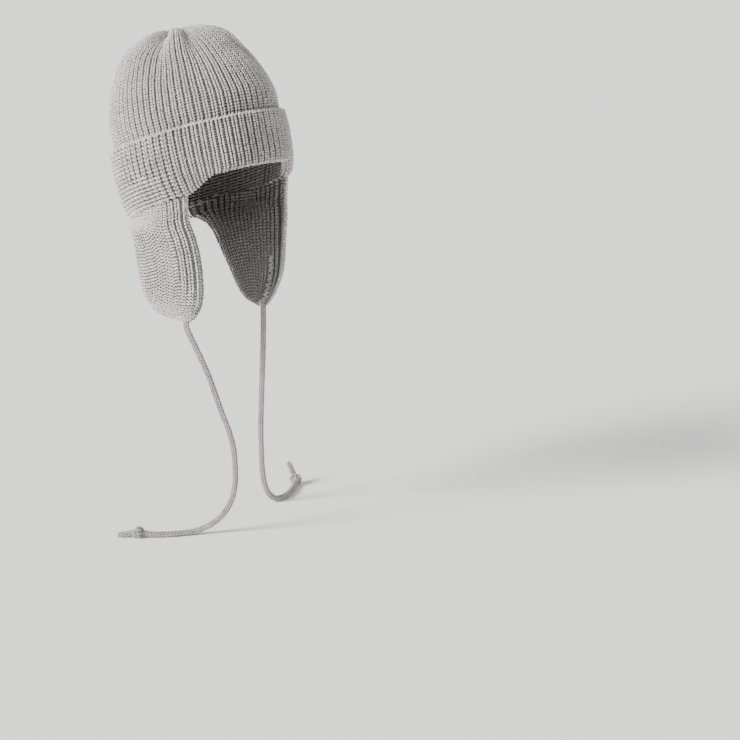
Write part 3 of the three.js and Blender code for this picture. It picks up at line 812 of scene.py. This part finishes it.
bandSettings = {
    "rows": 31, "sideRows": 17, "insideRows": 10, "inset": 0.9, "pitRows": 2,
    "insideFrom": 1.55, "outsideTo": 3.93, "rollBase": 0.06, "roll": 0.27,
    "steps": {"inside": 16, "roll": 15, "outside": 36, "sideOutside": 40, "sideInside": 18},
    "front": (45, 90), "nape": (125, 165),
    "ribbing": {"least": 0.36, "atFront": 0.64, "higherUp": 0.45, "levels": (6, 44)},
    "ground": 2.6, "lip": {"from": 3.98, "to": 2.5, "steps": 6, "out": 0.4},
    "lining": {"from": 2.45, "steps": 14, "swell": -0.3}, "groundRoll": {"steps": 9, "swell": 0.25},
    "outer": {"to": 3.98, "steps": 24, "swell": 0.3},
}
# the edge's tone is a painted highlight along the top ridge
edgeSettings = {
    "place": 4, "insets": (1.0, 2.5, 4.0), "rises": (-0.5, 0.2, 0.0), "halfLength": 2.3,
    "depth": 0.85, "slant": 0.3, "stagger": 0.2, "jitter": 0.12, "tone": 0.8,
}
lowest = bandSettings["rollBase"] + bandSettings["roll"]
rimAngles = ringRow(bandRing(0, 0), halfColumns, angles=True)


def shareOfFlap(side):
    # how far along its flap each column meets the rim, 0 at the front and 1 at the rear
    start, end = flapOnRim[side]
    return (side * rimAngles - start) / (end - start)


flapShare = np.where(rimAngles > 0, shareOfFlap(1), shareOfFlap(-1))
overFlap = (flapShare > 0) & (flapShare < 1)
frontness = 1 - smoothed(np.abs(rimAngles), *bandSettings["front"])
frontness = frontness + smoothed(np.abs(rimAngles), *bandSettings["nape"])


def rimRing(turn, inset):
    # the rolled lower edge, from inside at 0 to outside at pi
    middle = bandWalls / 2
    place = bandSettings["rollBase"] + bandSettings["roll"] * (1 - np.sin(turn))
    return bandRing(place, middle + (middle - inset) * np.cos(turn))


def bandStretch(name, path, rows, columns, outside):
    # stitches along one path of rings, on the columns picked, in two halves
    grid = evenRows(np.array([ringRow(ring, halfColumns) for ring in path]), rows)[0]
    settings = bandSettings["ribbing"]
    level = grid[..., 2] + tiltSlope * grid[..., 1]
    ribbing = settings["least"] + settings["atFront"] * frontness[None, :]
    ribbing = ribbing + settings["higherUp"] * smoothed(level, *settings["levels"])
    keep = np.tile(columns, (rows, 1))
    if outside:
        keep[-bandSettings["pitRows"]:, 1::2] = False
    # the stitches inside the band get painted shade
    wool = bandWool if outside else innerShadeWool
    return ribbedPieces(name, grid, np.clip(ribbing, 0, 1), keep, 2, wool, "band_knit")


def bandStitches():
    inset, steps = bandSettings["inset"], bandSettings["steps"]
    insideFrom, outsideTo = bandSettings["insideFrom"], bandSettings["outsideTo"]
    within = bandWalls - inset
    path = [bandRing(place, within) for place in np.linspace(insideFrom, lowest, steps["inside"])[:-1]]
    path += [rimRing(turn, inset) for turn in np.linspace(0, np.pi, steps["roll"])]
    path += [bandRing(place, inset) for place in np.linspace(lowest, outsideTo, steps["outside"])[1:]]
    outside = [bandRing(place, inset) for place in np.linspace(0, outsideTo, steps["sideOutside"])]
    inside = [bandRing(place, within) for place in np.linspace(insideFrom, 0, steps["sideInside"])]
    pieces = bandStretch("bandKnit", path, bandSettings["rows"], ~overFlap, True)
    pieces += bandStretch("bandSide", outside, bandSettings["sideRows"], overFlap, True)
    return pieces + bandStretch("bandInside", inside, bandSettings["insideRows"], overFlap, False)


def castOnEdge():
    # rings of slanting loops over the top of the band, a little lighter: a painted highlight on the ridge
    edge = edgeSettings
    parts = []
    for inset, rise in zip(edge["insets"], edge["rises"]):
        ring = bandRing(edge["place"], inset)
        ring["z"] += rise
        loops = ringRow(ring, halfColumns)
        across = unit(np.roll(loops, -1, 0) - np.roll(loops, 1, 0))
        upwards = np.tile([0.0, 0.0, 1.0], (halfColumns, 1))
        out = unit(np.cross(across, upwards))
        loops += rng.normal(0, edge["jitter"], loops.shape)
        loops[:, 2] += np.where(np.arange(halfColumns) % 2, -edge["stagger"], edge["stagger"])
        slanted = unit(across + edge["slant"] * upwards)
        parts.append(copyGrains(legShape, loops, out * edge["depth"], slanted * edge["halfLength"],
                                upwards * edge["depth"], edge["tone"]))
    return finishPiece(meshPiece("bandEdge", *joinGrains(parts)), bandWool, "band_knit")


def bandSkins():
    # down the lip against the crown and the lining, both in the inside's painted shade, round the roll and
    # up the outside in the ground's painted shade
    ground, lip, lining = bandSettings["ground"], bandSettings["lip"], bandSettings["lining"]
    roll, outer = bandSettings["groundRoll"], bandSettings["outer"]
    rows = []
    for place in np.linspace(lip["from"], lip["to"], lip["steps"]):
        rows.append(ribbedRow(bandRing(place, skirtInset - lip["out"]), 0))
    for place in np.linspace(lining["from"], lowest, lining["steps"]):
        rows.append(ribbedRow(bandRing(place, bandWalls - ground), lining["swell"]))
    innerRows = len(rows)
    for turn in np.linspace(0, np.pi, roll["steps"])[1:-1]:
        rows.append(ribbedRow(rimRing(turn, ground), roll["swell"]))
    for place in np.linspace(lowest, outer["to"], outer["steps"]):
        rows.append(ribbedRow(bandRing(place, ground), outer["swell"]))
    return wallPiece("bandWall", rows, "band_knit", "band", innerRows, closed=True)


bandPieces = bandStitches()
bandPieces.append(castOnEdge())
bandWall = bandSkins()
print("band made")

# Ear flaps: level rows from the rim down, as the solids have them

flapTable = {
    "front": [-0.36, -0.31, -0.285, -0.29, -0.32, -0.365, -0.415, -0.455, -0.485, -0.495, -0.48, -0.445,
              -0.4, -0.36],
    "frontDrop": [0, 0.069, 0.116, 0.185, 0.255, 0.34, 0.448, 0.571, 0.687, 0.78, 0.861, 0.923, 0.973, 1],
    "rear": [0.64, 0.56, 0.53, 0.505, 0.485, 0.465, 0.445, 0.42, 0.385, 0.35, 0.305, 0.23, 0.12, -0.08],
    "rearDrop": [0, 0.332, 0.355, 0.378, 0.417, 0.471, 0.541, 0.625, 0.71, 0.788, 0.861, 0.923, 0.973, 1],
    "frontSwing": [0.73, 1.03, 1.18, 1.22, 1.13, 0.98, 0.8, 0.62, 0.42, 0.23, 0.1, 0.05, 0.05, 0.07],
    "rearSwing": [0.07, 0, 0.07, 0.15, 0.28, 0.45, 0.6, 0.75, 0.85, 0.92, 0.95, 0.9, 0.8, 0.47],
    "spread": [1.13, 1.09, 1.06, 1.035, 1.01, 0.985, 0.97, 0.97, 0.985, 0.995, 1, 1, 1, 1],
    "thick": [0.49, 0.6, 0.7, 0.8, 0.88, 0.94, 0.98, 1, 1, 1, 0.95, 0.84, 0.65, 0.42],
    "bow": [0.1, 0.12, 0.12, 0.1, 0.08, 0.07, 0.06, 0.05, 0.045, 0.04, 0.035, 0.03, 0.02, 0],
    "rim": [1, 0.7, 0.4, 0.17, 0.05, 0, 0, 0, 0, 0, 0, 0, 0, 0],
}
flapSettings = {
    "drop": 129.5, "reach": 100, "spread": 56, "thickness": 20, "swing": 30, "squareness": 3.2,
    "thinnest": 1, "rimRows": 1.2, "inset": 0.9,
    "grid": {"rows": 131, "columns": 121, "turns": 161, "probe": (60, 60)},
    "wall": {"inset": 2.4, "turns": 64, "top": 0.02, "from": 0.3, "to": 12.6, "steps": 42, "bottom": 12.9},
}
# Wales run down the face as shares of it. Their ribbing is deep along the front edge, where it
# ends some way below the rim, higher up for each share further back, and it fades below the band.
waleSettings = {
    "to": 0.995, "points": 200, "joined": (0.02, 0.3), "fewest": 8, "innerOut": 1.0, "innerRib": 0.7,
    "edge": (0.1, 0.28), "edgeEnds": (95, 132), "sooner": 110, "bandFades": 30, "ribbing": (0.1, 0.9),
}
# the hem's tone darkens it further: painted shade
hemSettings = {
    "from": 0.52, "to": 0.99, "points": 120, "over": 0.13, "bottom": (0.8, 1.0), "halfWidth": 3.6,
    "step": 2.9, "rise": 1.3, "twist": (-0.45, 0.75), "twistJitter": 0.25, "jitter": 0.35,
    "halfHeight": 1.5, "depth": 1.6, "tone": -0.5,
}


def flapSection(side, row, turn, inset):
    # a level cut through a flap: turn goes from 0 at its front, over the outside, to pi at its rear
    flap = flapSettings
    read = lambda name: float(eased(flapTable[name], np.float64(row)))
    swing = flap["swing"] if side > 0 else 0
    front = read("front") * flap["reach"] - swing * read("frontSwing")
    rear = read("rear") * flap["reach"] - swing * read("rearSwing")
    power = 2 / flap["squareness"]
    share = 0.5 - signedPower(np.cos(turn), power) / 2
    thick = bandWalls * read("rim") ** 3 + flap["thickness"] * read("thick") * (1 - read("rim") ** 3)
    halfThick = max(thick, flap["thinnest"]) / 2 - inset
    middleShare = 0.5 + (share - 0.5) * (1 - 2 * inset / (rear - front))
    bulge = halfThick * signedPower(np.sin(turn), power)
    y = front + (rear - front) * middleShare
    across = flap["spread"] * (read("spread") - read("bow") * (2 * middleShare - 1) ** 2)
    bend = 4 * flap["spread"] * read("bow") * (2 * middleShare - 1) / (rear - front)
    hang = np.stack([across, y, np.zeros_like(y)], -1)
    hangOut = unit(np.stack([np.ones_like(bend), bend, np.zeros_like(bend)], -1))
    start, end = flapOnRim[side]
    angle = side * (start + (end - start) * middleShare)
    ring = bandRing(0, bandWalls / 2)
    onRim, ahead = ringPoints(ring, angle), ringPoints(ring, angle + side)
    onRim[:, 0] *= side
    ahead[:, 0] *= side
    step = ahead - onRim
    rimOut = unit(np.stack([step[:, 1], -step[:, 0], np.zeros(len(step))], -1))
    follow = min(max(read("rim"), 0), 1)
    place = hang * (1 - follow) + onRim * [1, 1, 0] * follow
    place += unit(hangOut * (1 - follow) + rimOut * follow) * bulge[:, None]
    drop = flap["drop"] * (read("frontDrop") + (read("rearDrop") - read("frontDrop")) * middleShare)
    top = -tiltSlope * place[:, 1] - hat["rimSag"] - hat["gap"]
    blend = smoothed(np.float64(row), 0, flap["rimRows"])
    place[:, 2] = top * (1 - blend) - drop * blend
    place[:, 0] *= side
    return place


def flapSurface(side, outer):
    # one face of a flap as a grid: rows down, columns at equal steps from front to rear
    grid = flapSettings["grid"]
    turn = np.linspace(0, np.pi, grid["turns"])
    lastRow = len(flapTable["front"]) - 1
    made = []
    for row in np.linspace(0, lastRow, grid["rows"]):
        section = flapSection(side, row, turn if outer else -turn, flapSettings["inset"])
        along = runAlong(section)
        made.append(readAlong(np.linspace(0, along[-1], grid["columns"]), along, section))
    return np.array(made)


def readGrid(grid, down, over):
    # the grid's points at shares down and over
    down = np.clip(down, 0, 1) * (grid.shape[0] - 1)
    over = np.clip(over, 0, 1) * (grid.shape[1] - 1)
    row = np.minimum(down.astype(int), grid.shape[0] - 2)
    column = np.minimum(over.astype(int), grid.shape[1] - 2)
    pastRow, pastColumn = (down - row)[..., None], (over - column)[..., None]
    before = grid[row, column] * (1 - pastRow) + grid[row + 1, column] * pastRow
    after = grid[row, column + 1] * (1 - pastRow) + grid[row + 1, column + 1] * pastRow
    return before * (1 - pastColumn) + after * pastColumn


def waleStitches(line, outward, pitch, rowHeight):
    # points at equal steps along one wale, with its frame
    along = runAlong(line)
    count = max(int(round(along[-1] / rowHeight)), 2)
    target = along[-1] * (np.arange(count) + 0.5) / count
    at = readAlong(target, along, line)
    out = unit(readAlong(target, along, outward))
    width = np.interp(target, along, pitch)[:, None]
    ahead = unit(np.gradient(at, axis=0)) * along[-1] / count
    return at, np.cross(unit(ahead), out) * width, ahead, out


def outwardNormals(grid, middle):
    # a grid's normals, away from the flap's middle
    probe = flapSettings["grid"]["probe"]
    normals = unit(np.cross(np.gradient(grid, axis=1), np.gradient(grid, axis=0)))
    away = np.sum(normals[probe] * (grid[probe] - middle))
    return normals if away > 0 else -normals


def flapFace(side, grid, normals, inside):
    # wales that start where the band's ribs end and run on parallel to the front edge
    wale = waleSettings
    shares = np.sort(flapShare[overFlap & (np.sign(rimAngles) == side)])
    width = np.linalg.norm(np.diff(grid, axis=1), axis=2).sum(1)
    step = width.max() / len(shares)
    down = np.linspace(0, wale["to"], wale["points"])
    widthAt = np.interp(down * (len(width) - 1), np.arange(len(width)), width)
    joined = smoothed(down, *wale["joined"])
    parts = []
    for number, share in enumerate(shares):
        if inside:
            over = share + ((number + 0.5) / len(shares) - share) * joined
        else:
            over = share * (1 - joined) + (number + 0.5) * step / widthAt * joined
        kept = over < 1
        if kept.sum() < wale["fewest"]:
            continue
        line, outward = readGrid(grid, down, over)[kept], unit(readGrid(normals, down, over))[kept]
        pitch = widthAt[kept] / len(shares) * 2 if inside else np.full(kept.sum(), step * 2)
        at, across, ahead, out = waleStitches(line, outward, pitch, stitch["rowHeight"])
        isRib = number % 2 == 0
        if inside:
            if isRib:
                parts += knitStitches(at + out * wale["innerOut"], across * wale["innerRib"], ahead, out)
            continue
        below = -(at[:, 2] + tiltSlope * at[:, 1] + hat["rimSag"])
        edge = 1 - smoothed(share, *wale["edge"])
        endsFrom, endsTo = np.array(wale["edgeEnds"]) - wale["sooner"] * share
        edge = edge * (1 - smoothed(below, endsFrom, endsTo))
        fromBand = bandSettings["ribbing"]["least"] * (1 - smoothed(below, 0, wale["bandFades"]))
        ribbing = np.clip(np.maximum(edge, fromBand), *wale["ribbing"])
        parts += ribbedKnit(at, across, ahead, out, ribbing, isRib)
    return parts


def hemSeam(grid, normals):
    # the twisted seam that closes the flap, up its front edge from the cord, darkened with painted shade
    hem = hemSettings
    down = np.linspace(hem["from"], hem["to"], hem["points"])
    over = hem["over"] + (0.5 - hem["over"]) * smoothed(down, *hem["bottom"]) ** 2
    line, outward = readGrid(grid, down, over), unit(readGrid(normals, down, over))
    pitch = np.full(hem["points"], 2 * hem["halfWidth"])
    at, across, ahead, out = waleStitches(line, outward, pitch, hem["step"])
    twist = np.array(hem["twist"])[np.arange(len(at)) % 2][:, None]
    twist = twist + rng.normal(0, hem["twistJitter"], twist.shape)
    lean = unit(unit(across) + twist * unit(ahead))
    at = at + out * hem["rise"] + rng.normal(0, hem["jitter"], at.shape)
    return [copyGrains(legShape, at, unit(ahead) * hem["halfHeight"], lean * hem["halfWidth"],
                       out * hem["depth"], hem["tone"])]


def earFlap(side, name):
    outer, inner = flapSurface(side, True), flapSurface(side, False)
    wall = flapSettings["wall"]
    turn = np.linspace(0, 2 * np.pi, wall["turns"], endpoint=False)
    between = np.linspace(wall["from"], wall["to"], wall["steps"])
    rows = [flapSection(side, row, turn, wall["inset"]) for row in (wall["top"], *between, wall["bottom"])]
    # the wall's inner half gets the inside's painted shade
    flapWall = wallPiece("flapWall_" + name, rows, "flap_knit", "ear_flap_" + name, innerHalf=True)
    probe = flapSettings["grid"]["probe"]
    middle = (outer[probe] + inner[probe]) / 2
    innerNormals = outwardNormals(inner, middle)
    parts = flapFace(side, outer, outwardNormals(outer, middle), False)
    finishPiece(meshPiece("flapKnit_" + name, *joinGrains(parts)), flapWool, "flap_knit")
    # the stitches on the flap's inner face get painted shade
    parts = flapFace(side, inner, innerNormals, True)
    finishPiece(meshPiece("flapInside_" + name, *joinGrains(parts)), innerShadeWool, "flap_knit")
    parts = hemSeam(inner, innerNormals)
    finishPiece(meshPiece("flapHem_" + name, *joinGrains(parts)), innerShadeWool, "flap_knit")
    print("flap", name, "made")


earFlap(-1, "right")
earFlap(1, "left")

# Floor

floorSettings = {"halfWidth": 6, "colour": (0.96, 0.96, 0.957, 1), "roughness": 0.85, "specular": 0.1}
floorShape = bmesh.new()
bmesh.ops.create_grid(floorShape, x_segments=1, y_segments=1, size=floorSettings["halfWidth"])
bmesh.ops.translate(floorShape, verts=floorShape.verts, vec=(0, 0, hat["floor"] * millimetre))
floor = shapePiece("floor", floorShape)
floorMaterial = bpy.data.materials.new("pale floor")
floorMaterial.use_nodes = True
floorShader = floorMaterial.node_tree.nodes["Principled BSDF"]
floorShader.inputs["Base Color"].default_value = floorSettings["colour"]
floorShader.inputs["Roughness"].default_value = floorSettings["roughness"]
floorShader.inputs["Specular IOR Level"].default_value = floorSettings["specular"]
floor.data.materials.append(floorMaterial)
floor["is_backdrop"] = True

triangles = {}
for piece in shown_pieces():
    if piece.type == "MESH":
        triangles[piece.name] = sum(len(face.vertices) - 2 for face in piece.data.polygons)
print("triangles", sum(triangles.values()), triangles)
